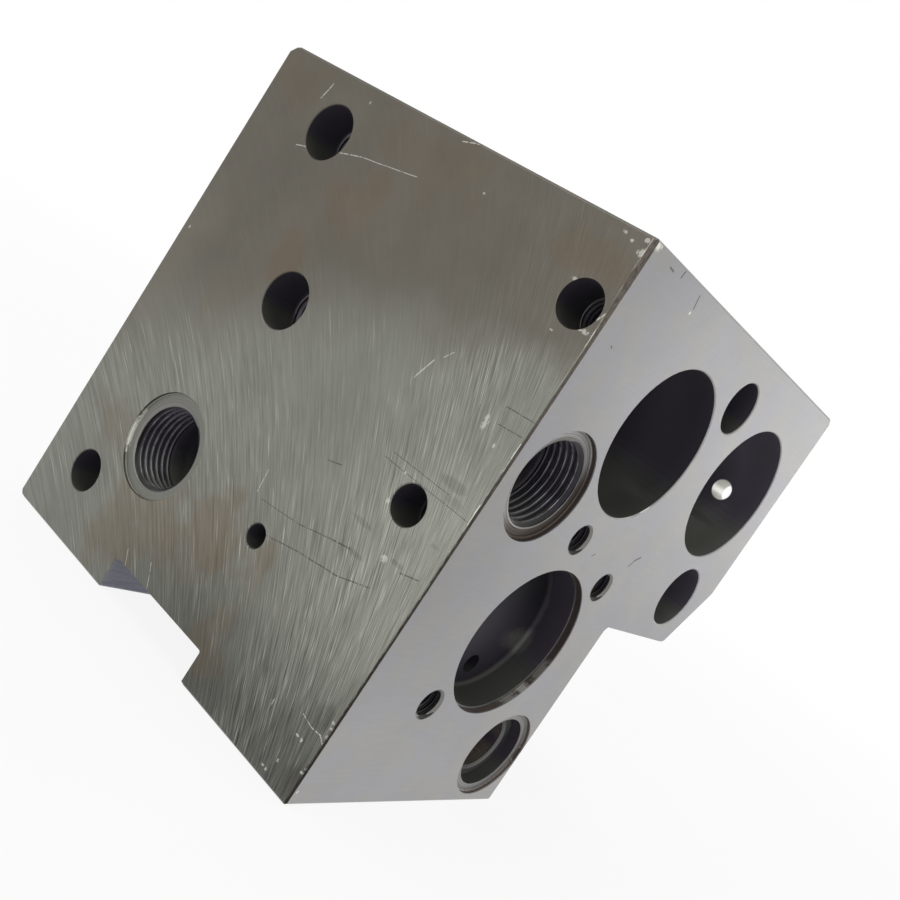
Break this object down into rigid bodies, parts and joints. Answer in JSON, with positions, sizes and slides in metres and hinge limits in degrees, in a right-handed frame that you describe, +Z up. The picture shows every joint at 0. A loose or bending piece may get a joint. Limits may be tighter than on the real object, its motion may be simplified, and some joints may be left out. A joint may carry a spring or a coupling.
{
  "type": "valve body",
  "caption": "Machined steel hydraulic valve body: stepped, slotted block with threaded ports, cartridge cavities, a pilot pocket, bolt holes and oil drillings.",
  "frame": {"origin": "under the middle of the block, on the surface that its foot stands on", "axes": "+X to the right along the front face with the cartridge cavities, +Y from the front face to the back, +Z up"},
  "size_m": [0.0958, 0.0908, 0.1],
  "materials": {
    "steel": "ground and machined steel, unplated, lightly stained, with oily dark bores"
  },
  "bodies": {
    "root": {"valve_body": "steel"}
  },
  "joints": []
}
